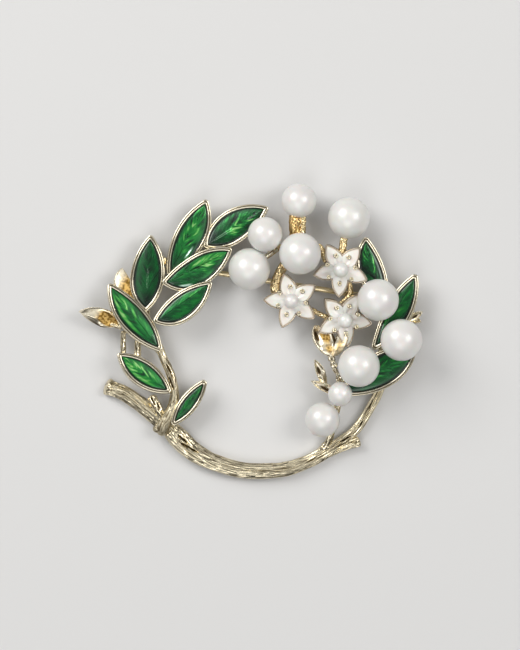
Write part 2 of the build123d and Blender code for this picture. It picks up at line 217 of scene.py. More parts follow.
pale_floor = Finish("pale_floor", Roughness=0.6, Specular_IOR_Level=0.2)
floor_cloud = pale_floor.node("ShaderNodeTexNoise", Scale=9, Detail=2)
floor_colour = pale_floor.colour(floor_cloud, (0.66, 0.66, 0.665), (0.72, 0.72, 0.72))
pale_floor.feed(pale_floor.shader, {"Base Color": floor_colour})
floor_mesh = bpy.data.meshes.new("floor")
floor_mesh.from_pydata([(-2, -2, -2e-5), (2, -2, -2e-5), (2, 2, -2e-5), (-2, 2, -2e-5)], [], [(0, 1, 2, 3)])
floor_mesh.materials.append(pale_floor.material)
put("floor", floor_mesh)


# The branches: cast in one with the rest, then plated in pale gold
# The lower branch is the ring of the wreath: long bark ridges, a flat back, a knot near its thick end
# and a cut stub at the fork. A second branch, cut off at the left, runs into its thick end.
def gold(name, light, painted_shade, roughness, grain=2600, grain_depth=0.02, matt=None):
    """Plated metal: light on its crests, with painted shade in its grooves and slits, finely grained, and
    matt about one place.
    """
    metal = Finish(name, Metallic=1)
    place = metal.place()
    cloud = metal.noise(place, 420, 3)
    fine = metal.noise(place, grain, 2)
    # painted shade: where a piece is marked as lying in a groove or slit, its colour turns towards the shade
    # colour
    depth = metal.mark("groove").ramp(0.25, 0.95)
    toned = metal.colour(cloud.ramp(0.35, 0.7), light, [0.86 * value for value in light])
    rough = roughness + cloud * 0.1 + depth * 0.18
    if matt:
        near = 1 - metal.vector("DISTANCE", place, (matt[0] + shift) * mm).also("Value").ramp(*matt[1:])
        toned = metal.colour(near, toned, [0.62 * value for value in light])
        rough = rough + near * 0.2
        fine = fine * (1 + near * 6)
    metal.surface(metal.colour(depth, toned, painted_shade), fine, grain_depth, Roughness=rough)
    return metal.material


class Making(Recipe):
    """A tree of Geometry Nodes with named inputs."""

    def __init__(self, name, numbers, **others):
        super().__init__(bpy.data.node_groups.new(name, "GeometryNodeTree"))
        kinds = {"Geometry": "Geometry", **dict.fromkeys(numbers, "Float"), **others}
        for label, kind in kinds.items():
            self.tree.interface.new_socket(name=label, in_out="INPUT", socket_type=f"NodeSocket{kind}")
        self.tree.interface.new_socket(name="Geometry", in_out="OUTPUT", socket_type="NodeSocketGeometry")
        self.given = self.node("NodeGroupInput")

    def step(self, kind, settings=None, *values, **named):
        return self.node("GeometryNode" + kind, settings, *values, **named)

    def coated(self, geometry, label):
        """The geometry in the metal that the input of that name gives."""
        return self.step("SetMaterial", Geometry=geometry, Material=self.given.also(label))

    def circle(self, resolution, radius):
        return self.step("CurvePrimitiveCircle", Resolution=resolution, Radius=radius)

    def make(self, name, mesh, values):
        """The plain mesh that the tree makes of another, with these values for its inputs."""
        holder = put(name, mesh)
        modifier = holder.modifiers.new(name, "NODES")
        modifier.node_group = self.tree
        for item in self.tree.interface.items_tree:
            if item.in_out == "INPUT" and item.name in values:
                modifier[item.identifier] = values[item.name]
        bpy.context.view_layer.update()
        made = bpy.data.meshes.new_from_object(holder.evaluated_get(bpy.context.evaluated_depsgraph_get()))
        bpy.data.objects.remove(holder)
        return made


# how bark is laid on a wire: lengths in millimetres, then plain numbers
bark_lengths = ("Step", "Ridge width", "Ridge length", "Groove depth", "Knobbliness")
bark_numbers = ("Sides", "End rounding", "Flat back", "Seed")
bark = Making("bark_on_wires", bark_lengths + bark_numbers, Sides="Int", Metal="Material")
given = bark.given.also


def bark_mark(geometry, name, value, kind="FLOAT"):
    """Writes a value on each point, to be read again after the next step."""
    settings = {"data_type": kind, "domain": "POINT"}
    return bark.step("StoreNamedAttribute", settings, Geometry=geometry, Name=name, Value=value)


def bark_read(name, kind="FLOAT"):
    return bark.step("InputNamedAttribute", {"data_type": kind}, Name=name)


# the line of each wire, smoothed through its places
line = bark.step("MeshToCurve", Mesh=bark.given)
line = bark.step("CurveSplineType", {"spline_type": "CATMULL_ROM"}, line)
line = bark.step("ResampleCurve", {"mode": "LENGTH"}, Curve=line, Length=given("Step"))
run = bark.step("SplineParameter").also("Length")
left_over = bark.step("SplineLength") - run
line = bark_mark(line, "along", run)
line = bark_mark(line, "middle", bark.step("InputPosition"), "FLOAT_VECTOR")
thickness = bark_read("thickness")
end_share = (run.least(left_over) / (thickness * given("End rounding"))).least(1)
rounded = (1 - (1 - end_share) ** 2 * 0.995) ** 0.5
circle = bark_mark(bark.circle(given("Sides"), 1), "turn", bark.step("SplineParameter"))
skin = bark.step("CurveToMesh", {}, line, circle, thickness * rounded, True)

# the grooves run along it, and wander
round_about = bark_read("turn") * (tau)
wide = thickness / given("Ridge width")
noise_place = bark.node(
    "ShaderNodeCombineXYZ", {}, round_about.cosine() * wide, round_about.sine() * wide + given("Seed"),
    bark_read("along") / given("Ridge length"),
)
ridges = bark.noise(noise_place, 1, 1.5, Distortion=0.25)
lumps = bark.noise(noise_place, 0.45, 1)
groove = 1 - (abs(ridges - 0.5) * 9).least(1) ** 0.7
# the grooves are cut into the bark and also marked for painted shade in the metal's colour
skin = bark_mark(skin, "groove", groove)
middle = bark_read("middle", "FLOAT_VECTOR")
position = bark.step("InputPosition")
outwards = bark.vector("NORMALIZE", bark.vector("SUBTRACT", position, middle))
rise = (lumps - 0.5) * given("Knobbliness") - groove * given("Groove depth") * bark_read("gnarl")
spot = bark.vector("ADD", position, bark.vector("SCALE", outwards, Scale=rise))
parts = bark.node("ShaderNodeSeparateXYZ", {}, spot)
middle_height = bark.node("ShaderNodeSeparateXYZ", {}, middle).also("Z")
below = (middle_height - parts.also("Z")).most(0)
stretch = (middle_height / thickness - 1) * given("Flat back")
height = (parts.also("Z") - below * stretch).most(0.00002)
spot = bark.node("ShaderNodeCombineXYZ", {}, parts, parts.also("Y"), height)
skin = bark.step("SetPosition", Geometry=skin, Position=spot)
skin = bark.step("SetShadeSmooth", {}, skin)
skin = bark.step("RealizeInstances", {}, skin)
bark.node("NodeGroupOutput", {}, bark.coated(skin, "Metal"))


def write(mesh, label, values, kind="FLOAT"):
    """Writes a value on each point of a mesh."""
    data = mesh.attributes.new(label, kind, "POINT").data
    data.foreach_set("vector" if kind == "FLOAT_VECTOR" else "value", values)


def cast_piece(name, mesh, slot="gold", node="gold_casting"):
    """A finished piece of the brooch: it stands for its solid and rides with the rest."""
    piece = put(name, mesh)
    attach(piece, "root")
    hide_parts(node)


def gouge(mesh, rows):
    """Deep slits in the upper side of a piece, each along its line, widest in its middle, and marked for
    painted shade inside.
    """
    grooves = mesh.attributes["groove"].data
    upper = [vertex for vertex in mesh.vertices if vertex.normal.z > 0 and vertex.co.z > mm]
    for first_x, first_y, last_x, last_y, width, depth in rows:
        first = (at(first_x, first_y) + shift) * mm
        way = (at(last_x, last_y) + shift) * mm - first
        length = way.length
        way /= length
        for vertex in upper:
            away_x, away_y = vertex.co.x - first.x, vertex.co.y - first.y
            along = away_x * way.x + away_y * way.y
            if 0 < along < length:
                across = (away_x * way.y - away_y * way.x) / (width / 2 * mm)
                open_here = 1 - across ** 2 - (2 * along / length - 1) ** 4
                if open_here > 0:
                    vertex.co.z = max(vertex.co.z - depth * mm * min(1, 1.6 * open_here), 0.6 * mm)
                    # the slit is marked for painted shade
                    groove = grooves[vertex.index]
                    groove.value = max(groove.value, min(1, 1.4 * open_here))


def wires(name, lines, metal, bark_row, slits=()):
    """A piece of bark-covered wires through places (place in mm, half thickness in mm, gnarl), with slits."""
    line_mesh = bpy.data.meshes.new(name)
    points = [spot for line in lines for spot in line]
    edges = []
    start = 0
    for line in lines:
        edges += [(start + step, start + step + 1) for step in range(len(line) - 1)]
        start += len(line)
    line_mesh.from_pydata([(place + shift) * mm for place, _, _ in points], edges, [])
    write(line_mesh, "thickness", [half * mm for _, half, _ in points])
    write(line_mesh, "gnarl", [gnarl for _, _, gnarl in points])
    values = {label: length * mm for label, length in zip(bark_lengths, bark_row)}
    values.update(zip(bark_numbers, bark_row[len(bark_lengths):]), Metal=metal)
    mesh = bark.make(name, line_mesh, values)
    for label in ("thickness", "gnarl", "along", "middle", "turn"):
        mesh.attributes.remove(mesh.attributes[label])
    gouge(mesh, slits)
    cast_piece(name, mesh)


branch_width = 2.5
branch_height = 2.3
bark_gold = gold("bark_gold", (0.94, 0.84, 0.61), (0.1, 0.07, 0.025), 0.15)

# angle, degrees; reach, share of ring_radius; width and height, shares of branch_width and _height; gnarl
lower_branch_rows = [
    (228, 0.892, 1.02, 1, 0.8), (231, 0.895, 1.12, 1.03, 1), (235, 0.905, 1.2, 1.04, 1.6),
    (241, 0.924, 1.12, 1, 1.9), (247, 0.936, 1.06, 0.98, 1.4), (254, 0.948, 1, 0.96, 1),
    (268, 0.971, 0.95, 0.92, 1), (284, 0.994, 0.88, 0.86, 1), (294, 1.001, 0.8, 0.8, 1),
    (300, 1.004, 0.8, 0.8, 1.2), (306, 1.008, 0.72, 0.78, 1.2), (319, 1.029, 0.58, 0.74, 1),
    (330, 1.025, 0.54, 0.78, 1), (339, 1.032, 0.52, 0.84, 1), (350, 1.026, 0.5, 0.94, 1),
    (359, 0.963, 0.5, 1, 1),
]
left_branch_rows = [
    (197.4, 1.13, 0.88, 0.76, 0.3), (198.2, 1.112, 1, 0.8, 0.4), (199.6, 1.083, 0.84, 0.72, 1.9),
    (201.5, 1.04, 0.86, 0.76, 1.2), (205, 0.991, 0.88, 0.8, 1),
    (214, 0.922, 0.94, 0.86, 1), (224, 0.892, 1, 0.92, 1.1), (232, 0.893, 1, 0.96, 1),
]


def branch_line(rows):
    """The middle line of a branch from its table."""
    line = []
    for angle, reach, width, height, gnarl in rows:
        half = width * branch_width / 2
        way = Vector((cos(radians(angle)), sin(radians(angle)), 0))
        line.append((way * reach * ring_radius + Vector((0, 0, height * branch_height - half)), half, gnarl))
    return line


# x and y, shares of ring_radius; height and half thickness, mm; gnarl
stub_rows = [
    (0.57, -0.856, 0.95, 0.48, 1), (0.65, -0.818, 0.95, 0.52, 1), (0.72, -0.786, 1, 0.6, 1.2),
    (0.775, -0.765, 1.05, 0.72, 1.5), (0.804, -0.755, 1.05, 0.78, 0.8), (0.816, -0.751, 1, 0.7, 0.5),
]


def plain_line(rows):
    """The places of a wire from its table."""
    return [(at(x, y, height), half, gnarl) for x, y, height, half, gnarl in rows]


# from x and y to x and y, shares of ring_radius; width and depth, mm
branch_slits = [
    (-0.54, -0.7, -0.462, -0.77, 0.34, 0.5), (-0.515, -0.762, -0.385, -0.836, 0.36, 0.5),
    (0.66, -0.762, 0.75, -0.712, 0.22, 0.4), (0.64, -0.8, 0.735, -0.748, 0.2, 0.4),
    (0.805, -0.655, 0.838, -0.6, 0.22, 0.35), (0.88, -0.52, 0.912, -0.44, 0.18, 0.3),
]
wires(
    "lower_branch", [branch_line(lower_branch_rows), plain_line(stub_rows)], bark_gold,
    (0.1, 0.3, 7.5, 0.19, 0.34, 112, 0.25, 1.0, 3.0), branch_slits,
)
left_line = branch_line(left_branch_rows)
wires("left_branch", [left_line], bark_gold, (0.1, 0.28, 6.0, 0.17, 0.3, 100, 0.35, 1.0, 8.0))


# The vine and the twigs: thin wires with the same bark, cast in one with the branches
# The vine comes down the left side and wraps the joint of the two branches, where its surface is matt.
# The twigs pass behind the leaves and flowers and carry the pearls.
back_depth = 2
twig_diameter = 1
# name; thickness, share of twig_diameter; places: x and y, shares of ring_radius; height, share of back_depth
twig_rows = [
    ("fork_twig", 1, [(0.5, -0.88, 0.45), (0.54, -0.83, 0.5), (0.595, -0.72, 0.8),
        (0.612, -0.62, 0.95), (0.64, -0.53, 1.05), (0.667, -0.4, 1.2)]),
    ("fork_foot", 1.4, [(0.45, -0.885, 0.36), (0.52, -0.84, 0.42), (0.58, -0.77, 0.62)]),
    ("calyx_twig", 0.66, [(0.61, -0.13, 1.3), (0.64, -0.02, 1.05), (0.69, 0.12, 1.35)]),
    ("short_stub", 1.35, [(-0.735, -0.41, 1.15), (-0.7, -0.475, 1.1), (-0.672, -0.53, 0.95),
        (-0.65, -0.58, 0.75)]),
    ("left_stem", 1.1, [(-0.667, -0.09, 1.25), (-0.735, 0.03, 1.15), (-0.772, 0.19, 1.1),
        (-0.725, 0.37, 1.1), (-0.635, 0.62, 1.15)]),
    ("left_crossing", 0.8, [(-0.77, 0.17, 1.1), (-0.83, 0.25, 1.2)]),
    ("left_rod", 0.8, [(-0.941, 0.07, 1.35), (-0.941, -0.14, 1.2)]),
    ("right_rod", 0.95, [(-0.834, 0, 1.35), (-0.834, -0.14, 1.2)]),
    ("upper_left_stem", 0.7, [(-0.933, 0.34, 1.4), (-0.91, 0.29, 1.4), (-0.82, 0.24, 1.3)]),
    ("far_left_stem", 0.7, [(-1.04, 0.12, 1.4), (-0.95, 0.09, 1.4)]),
    ("pearl_6_stem", 1, [(0.963, -0.02, 1.1), (0.99, 0.15, 1.15), (0.96, 0.31, 1.15)]),
    ("pearl_7_stem", 1, [(0.985, -0.03, 1.1), (1.11, 0.01, 1.2), (1.18, 0.15, 1.35)]),
    ("pearl_8_stem", 1, [(0.67, -0.31, 1.1), (0.8, -0.19, 1.2), (0.9, -0.24, 1.15)]),
]
nugget_rows = [
    ("pearl_1_rib", 1, [(0.38, 0.68, 1.4), (0.39, 0.8, 1.55), (0.39, 0.95, 1.7)]),
    ("pearl_3_stem", 1.15, [(0.674, 0.56, 1.6), (0.7, 0.77, 1.8), (0.725, 0.87, 1.9)]),
    ("pearl_4_stem", 0.85, [(0.35, 0.66, 1.4), (0.22, 0.69, 1.5), (0.14, 0.63, 1.65)]),
    ("flower_2_stem", 1.45, [(0.36, 0.64, 1.4), (0.25, 0.55, 1.4), (0.185, 0.38, 1.5), (0.26, 0.31, 1.5)]),
    ("flower_1_stem", 1, [(0.35, 0.64, 1.4), (0.51, 0.69, 1.5), (0.57, 0.58, 1.65), (0.64, 0.54, 1.65)]),
    ("flower_link", 0.8, [(0.34, 0.28, 1.5), (0.5, 0.2, 1.5), (0.65, 0.14, 1.5)]),
    ("flower_1_link", 0.85, [(0.72, 0.47, 1.6), (0.74, 0.35, 1.6), (0.65, 0.24, 1.5)]),
]

# two thin polished wires, twisted under the cup of the lowest flower
wire_rows = [
    ("calyx_wire", 0.5, [(0.589, -0.111, 1.55), (0.622, -0.143, 1.5), (0.606, -0.185, 1.38),
        (0.64, -0.226, 1.42), (0.648, -0.274, 1.3), (0.654, -0.341, 1.2)]),
    ("other_wire", 0.5, [(0.615, -0.104, 1.48), (0.593, -0.143, 1.4), (0.633, -0.178, 1.52),
        (0.624, -0.222, 1.32), (0.672, -0.274, 1.3), (0.694, -0.341, 1.2)]),
]


def twig_lines(rows):
    """The lines of twigs from their table."""
    return [[(at(x, y, height * back_depth), share * twig_diameter / 2, 1) for x, y, height in spots]
            for _, share, spots in rows]


twig_slits = [(-0.74, -0.42, -0.7, -0.49, 0.3, 0.4), (-0.708, -0.43, -0.66, -0.52, 0.16, 0.3)]
wires("twigs", twig_lines(twig_rows), bark_gold, (0.09, 0.26, 1.6, 0.11, 0.22, 36, 0.6, 0.0, 5.0), twig_slits)
# the stems in the shaded recesses under the pearls: a warmer copy of the gold, its amber painted light
# bounced between gold surfaces
nugget_gold = gold("nugget_gold", (0.96, 0.78, 0.45), (0.17, 0.09, 0.02), 0.17)
wires("nugget_stems", twig_lines(nugget_rows), nugget_gold, (0.06, 0.3, 0.42, 0.13, 0.3, 44, 0.4, 0.0, 7.0))
polished_gold = gold("polished_gold", (0.94, 0.87, 0.69), (0.2, 0.15, 0.08), 0.08, 1500, 0.006)
wires("twisted_wires", twig_lines(wire_rows), polished_gold, (0.05, 0.3, 0.5, 0.1, 0.2, 28, 0.4, 0.0, 3.0))
# the amber of this stem is painted warm light bounced between the gold surfaces round it
amber_gold = gold("amber_gold", (0.93, 0.66, 0.3), (0.36, 0.2, 0.05), 0.17)
amber_rows = [(0.328, 0.66, 2.8, 0.85, 1), (0.332, 0.8, 3.2, 0.85, 1), (0.335, 0.96, 3.5, 0.85, 1)]
wires("amber_stem", [plain_line(amber_rows)], amber_gold, (0.06, 0.75, 0.9, 0.14, 0.55, 64, 0.4, 0.0, 2.0))

# the columns are those of the stub
vine_rows = [
    (-0.68, -0.03, 2.7, 0.56, 1), (-0.663, -0.08, 2.8, 0.6, 1), (-0.636, -0.15, 2.85, 0.62, 1),
    (-0.602, -0.215, 2.9, 0.66, 1), (-0.575, -0.295, 2.9, 0.67, 0.9), (-0.563, -0.36, 2.85, 0.66, 0.9),
    (-0.561, -0.42, 2.75, 0.68, 0.8), (-0.574, -0.49, 2.6, 0.76, 0.6), (-0.602, -0.56, 2.35, 0.84, 0.45),
    (-0.63, -0.615, 2.05, 0.98, 0.4), (-0.646, -0.655, 1.85, 0.98, 0.4), (-0.652, -0.69, 1.65, 0.74, 0.4),
    (-0.652, -0.71, 1.5, 0.45, 0.4),
]
foot_rows = [
    (-0.6, -0.58, 2.05, 0.6, 0.4), (-0.645, -0.638, 1.8, 0.86, 0.4), (-0.688, -0.652, 1.55, 0.8, 0.4),
    (-0.712, -0.64, 1.35, 0.6, 0.4),
]
vine_gold = gold(
    "vine_gold", (0.93, 0.83, 0.6), (0.12, 0.08, 0.03), 0.16, 3600, 0.02,
    matt=(at(-0.645, -0.64, 2.6), 1.6 * mm, 3.2 * mm),
)
vine_slits = [(-0.622, -0.178, -0.582, -0.25, 0.3, 0.45), (-0.6, -0.275, -0.564, -0.372, 0.26, 0.4)]
vine_lines = [plain_line(vine_rows), plain_line(foot_rows)]
wires("vine", vine_lines, vine_gold, (0.07, 0.3, 5.0, 0.12, 0.18, 64, 0.7, 0.0, 11.0), vine_slits)


# The leaf frames: each enamelled leaf is a cast tray with a polished rim round its cell
# The wall leans in a little towards the rim, which is two beads with a fine groove between them.
leaf_length = 12
leaf_half_width = 3
leaf_thickness = 1.3
leaf_step = 0.8
rim_width = 0.5
cell_depth = 0.7

# name; foot x and y, shares of ring_radius; heading, degrees; length, share of leaf_length; left and right
# bulge, shares of leaf_half_width, and belly, shares of its own length; level in leaf_step; lean and pitch
leaf_rows = [
    ("enamel_left_1", -0.6, 0.496, 63, 0.97, 0.64, 0.82, 0.52, 0.55, 0, 5, 2),
    ("enamel_left_2", -0.326, 0.694, 32, 0.86, 0.86, 0.7, 0.47, 0.42, 0, -5, 2),
    ("enamel_left_3", -0.637, 0.422, 27, 0.89, 0.55, 0.94, 0.6, 0.4, 1, 4, 1),
    ("enamel_left_4", -0.696, 0.133, 35, 0.8, 0.5, 0.82, 0.49, 0.43, 2, -4, 1),
    ("enamel_left_5", -0.77, 0.222, 86, 0.88, 0.82, 0.76, 0.38, 0.47, 0, -5, 1),
    ("enamel_left_6", -0.674, -0.074, 128, 0.97, 0.74, 0.58, 0.55, 0.44, 1, 9, -2),
    ("enamel_left_7", -0.604, -0.385, 144, 0.74, 0.62, 0.57, 0.52, 0.5, 0.4, 7, 1),
    ("enamel_left_8", -0.57, -0.615, 53, 0.62, 0.4, 0.42, 0.48, 0.48, 0.2, 4, 2),
    ("enamel_right_1", 0.985, 0.274, 106, 0.8, 0.77, 0.49, 0.55, 0.42, 0, 4, 1),
    ("enamel_right_2", 0.926, -0.059, 60, 0.99, 0.48, 0.74, 0.6, 0.51, 0.6, -4, 1),
    ("enamel_right_3", 0.689, -0.393, 32, 1.02, 0.78, 0.88, 0.55, 0.58, 0, 3, 1),
]


def own_plane(x, y, level, *turns):
    """Where the back of a leaf or flower lies, turned by pairs of degrees and axis."""
    plane = Matrix.Translation(at(x, y, back_depth + level * leaf_step))
    for degrees, axis in turns:
        plane = plane @ Matrix.Rotation(radians(degrees), 4, axis)
    return plane


def leaf_plane(row):
    """A leaf's own plane, with its foot at the origin and its tip along X."""
    _, x, y, heading, *_, level, lean, pitch = row
    return own_plane(x, y, level, (heading, "Z"), (lean, "X"), (-pitch, "Y"))


def corner(spot, first, last, steps, sharpness):
    """The ways outwards at a corner, turning from one to the next, longer in the middle for a sharp point."""
    start = atan2(first[1], first[0])
    whole = (atan2(last[1], last[0]) - start) % (tau)
    ways = []
    for step in range(1, steps):
        angle = whole * step / steps
        length = min(1 / max(cos(min(angle, whole - angle)), 0.1), sharpness)
        ways.append((*spot, length * cos(start + angle), length * sin(start + angle)))
    return ways


def leaf_side(x, whole, share, belly, inset=0):
    """One side of a leaf, two arcs that meet at its belly: how far out it is at x, and the way outwards."""
    bulge = share * leaf_half_width - inset
    widest = belly * whole
    span = widest if x < widest else whole - widest
    radius = (span ** 2 + bulge ** 2) / (2 * bulge)
    rise = sqrt(max(radius ** 2 - (x - widest) ** 2, 0))
    return bulge - radius + rise, (x - widest) / radius, rise / radius


side_steps = 44


def cell_outline(row):
    """Once round a leaf's cell: x, y and the way outwards, the right side first."""
    _, _, _, _, length, left, right, left_belly, right_belly, *_ = row
    inner = length * leaf_length - 2 * rim_width
    sides = []
    for share, belly in ((right, right_belly), (left, left_belly)):
        places = [inner * (1 - cos(pi * step / side_steps)) / 2 for step in range(side_steps + 1)]
        sides.append([(x + rim_width, *leaf_side(x, inner, share, belly, rim_width)) for x in places])
    under = [(x, -y, across, -up) for x, y, across, up in sides[0]]
    over = sides[1][::-1]
    tip = corner((inner + rim_width, 0), under[-1][2:], over[0][2:], 8, 1.2)
    foot = corner((rim_width, 0), over[-1][2:], under[0][2:], 8, 1.2)
    return under + tip + over + foot


class Skin:
    """The skin of a piece, gathered shell by shell in millimetres from the middle of the ring."""

    def __init__(self):
        self.points, self.faces, self.marks, self.grooves = [], [], [], []

    def add(self, rings, plane, marks=None, grooves=None, fans=False):
        """A shell through rings of points, its first and last rings filled, with fans where star-shaped."""
        start = len(self.points)
        count = len(rings[0])
        self.points += [plane @ Vector(point) for ring in rings for point in ring]
        self.marks += [mark for ring in marks or [[(0, 0, 0)] * count] * len(rings) for mark in ring]
        self.grooves += [groove for groove in grooves or [0] * len(rings) for _ in range(count)]
        for near in range(start, start + (len(rings) - 1) * count, count):
            for step in range(count):
                after, far = (step + 1) % count, near + count
                self.faces.append((near + step, near + after, far + after, far + step))
        for first in (start, start + (len(rings) - 1) * count):
            ring = list(range(first, first + count))
            if fans:
                hub = len(self.points)
                self.points.append(sum((self.points[step] for step in ring), Vector()) / count)
                self.marks.append((0, 0, 0))
                self.grooves.append(0)
                self.faces += [(ring[step - 1], ring[step], hub) for step in range(count)]
            else:
                self.faces.append(tuple(ring))
        return self

    def cast(self, name, material, *slot_and_node, **evenly):
        """Its piece: doubled points merged, faces outwards, and values written evenly all over."""
        made = bpy.data.meshes.new(name)
        made.from_pydata([(point + shift) * mm for point in self.points], [], self.faces)
        write(made, "place", [value for values in self.marks for value in values], "FLOAT_VECTOR")
        write(made, "groove", self.grooves)
        for label, value in evenly.items():
            write(made, label, [value] * len(self.points))
        work = bmesh.new()
        work.from_mesh(made)
        bmesh.ops.remove_doubles(work, verts=work.verts, dist=0.0012 * mm)
        bmesh.ops.dissolve_degenerate(work, edges=work.edges, dist=1e-8)
        bmesh.ops.recalc_face_normals(work, faces=work.faces)
        for face in work.faces:
            face.smooth = True
        work.to_mesh(made)
        work.free()
        made.materials.append(material)
        cast_piece(name, made, *slot_and_node)


def swept(outline, profile):
    """Rings of an outline for a profile of (out, up) pairs."""
    return [[(x + out * away_x, y + out * away_y, up) for x, y, away_x, away_y in outline]
            for out, up in profile]


# out from the cell's wall and up from the leaf's back, mm; how much painted shade it takes: at the foot and
# outer wall, in the groove between the beads, and down the inner wall by the enamel
frame_profile = [
    (0.56, 0, 0.5), (0.62, 0.05, 0.5), (0.64, 0.14, 0.3), (0.63, 0.6, 0.3), (0.62, 0.98, 0.2),
    (0.6, 1.04, 0), (0.56, 1.08, 0), (0.46, 1.105, 0), (0.44, 1.09, 0.3), (0.42, 1.04, 0.9),
    (0.39, 1, 1), (0.35, 1.02, 1), (0.33, 1.1, 0.8), (0.31, 1.16, 0.2), (0.29, 1.185, 0),
    (0.23, 1.2, 0), (0.15, 1.185, 0), (0.1, 1.15, 0.2), (0.06, 1.08, 0.8), (0.03, 1.02, 1),
    (0, 0.96, 1), (0, leaf_thickness - cell_depth, 1),
]
leaf_frames = Skin()
for row in leaf_rows:
    rings = swept(cell_outline(row), [(out, up) for out, up, _ in frame_profile])
    leaf_frames.add(rings, leaf_plane(row), grooves=[groove for _, _, groove in frame_profile])
leaf_frames.cast("leaf_frames", polished_gold)


# The plain gold leaves: small cast leaves without enamel, hollow like spoons, with a bright edge
# Two stand at the left, two point out at the right, two make the lowest flower's cup and two sit by the bud.
blade_thickness = 0.75
# the columns are those of the enamelled leaves
blade_rows = [
    ("upper_left", -0.835, 0.237, 112, 0.52, 0.7, 0.18, 0.6, 0.5, 0, 8, 3),
    ("far_left", -0.978, 0.112, 160, 0.5, 0.34, 0.54, 0.45, 0.38, 0.4, -12, 2),
    ("right_upper", 1.15, 0.13, 34, 0.25, 0.2, 0.16, 0.5, 0.5, 0.8, 10, 5),
    ("right_lower", 1.14, 0.16, -15, 0.22, 0.22, 0.16, 0.5, 0.5, 0.3, -12, 6),
    ("calyx_left", 0.607, -0.133, 120, 0.45, 0.42, 0.58, 0.55, 0.5, 0.6, 10, 3),
    ("calyx_right", 0.615, -0.13, 60, 0.38, 0.3, 0.3, 0.5, 0.5, 0.7, -10, 3),
    ("bud_upper", 0.563, -0.36, 113, 0.38, 0.18, 0.27, 0.52, 0.5, 0.3, 8, 4),
    ("bud_lower", 0.66, -0.405, 153, 0.38, 0.18, 0.25, 0.5, 0.5, 0.2, -8, 4),
]
# in that order: depth of the hollow, mm; its start and end, shares of the length; fall of the ridge, mm;
# tones on the face: along and across it, shares; reach both ways; amber above 0, painted shade below
hollow_rows = [
    (0.14, -0.2, 1.2, 0.3, [(0.2, -0.3, 0.5, 1.1, 1.6), (0.3, -0.1, 0.22, 0.4, -0.7)]),
    (0.3, -0.2, 0.45, 0.62, [(0.14, 0, 0.33, 1.2, 1.9), (0.26, 1, 0.34, 0.36, -1.6),
        (0.6, 0.55, 0.3, 0.3, -0.7)]),
    (0.3, -0.2, 0.95, 0.42, [(0.58, 0, 0.2, 0.42, -1)]),
    (0.3, -0.2, 0.95, 0.42, [(0.5, 0.5, 0.2, 0.42, -0.7)]),
    (0.34, 0.34, 1.2, 0.34, [(0.61, -0.43, 0.17, 0.4, 1.3), (0.7, 0.42, 0.15, 0.26, -1.5),
        (0.24, -0.1, 0.16, 0.6, 0.6), (0.42, -0.95, 0.18, 0.2, -1.8)]),
    (0.12, 0.4, 1.2, 0.34, [(0.45, 0, 0.5, 1.2, 0.45), (0.46, 0.95, 0.18, 0.3, -1.6)]),
    (0.3, 0.5, 1.1, 0.42, [(0.62, 0.1, 0.16, 0.42, -1.2), (0.3, -0.4, 0.2, 0.4, 0.4)]),
    (0.3, 0.1, 0.9, 0.42, [(0.46, 0.1, 0.26, 0.4, -1.2)]),
]
hollow = Finish("hollow_gold", Metallic=1)
hollow_parts = hollow.node("ShaderNodeSeparateXYZ", {}, hollow.mark("place", "Vector"))
inside = 1 - abs(hollow_parts.also("Y")).ramp(0.84, 0.95)
grainy = hollow.noise(hollow.place(), 2300, 2)
# amber: a grainy, rougher warm gold, its warmth partly painted light bounced between the gold walls of the
# hollow
amber = inside * hollow_parts.also("Z").ramp(0.08, 0.62)
# painted shade: the face turns near black where a tone below 0 is set
painted_shade = (0 - hollow_parts.also("Z")).ramp(0.12, 0.8)
warm_gold = hollow.colour(grainy.ramp(0.42, 0.58), (0.26, 0.145, 0.03), (0.74, 0.5, 0.17))
pale_gold = hollow.colour(grainy.ramp(0.3, 0.7), (0.82, 0.74, 0.56), (0.94, 0.87, 0.7))
hollow.surface(
    hollow.colour(painted_shade, hollow.colour(amber, pale_gold, warm_gold), (0.07, 0.045, 0.02)), grainy, 0.12, amber,
    Roughness=0.24 + amber * 0.26 + painted_shade * 0.16 + grainy * 0.06,
)
blade_half = [0.12, 0.35, 0.55, 0.7, 0.82, 0.9, 0.97, 1]
blade_across = [-across for across in blade_half[::-1]] + [0] + blade_half
blade_stations = 40
blade_lip = 0.93
lip_size = 0.06
hollow_edge = 0.86
hollow_fade = 0.26


def ease(value):
    """From 0 to 1, eased at both ends."""
    value = min(max(value, 0), 1)
    return value * value * (3 - 2 * value)


def tone_at(along, across, tones):
    """How amber or dark a leaf's face is at one place."""
    return sum(
        strength * exp(-((along - middle) / reach) ** 2 - ((across - side) / side_reach) ** 2)
        for middle, side, reach, side_reach, strength in tones
    )


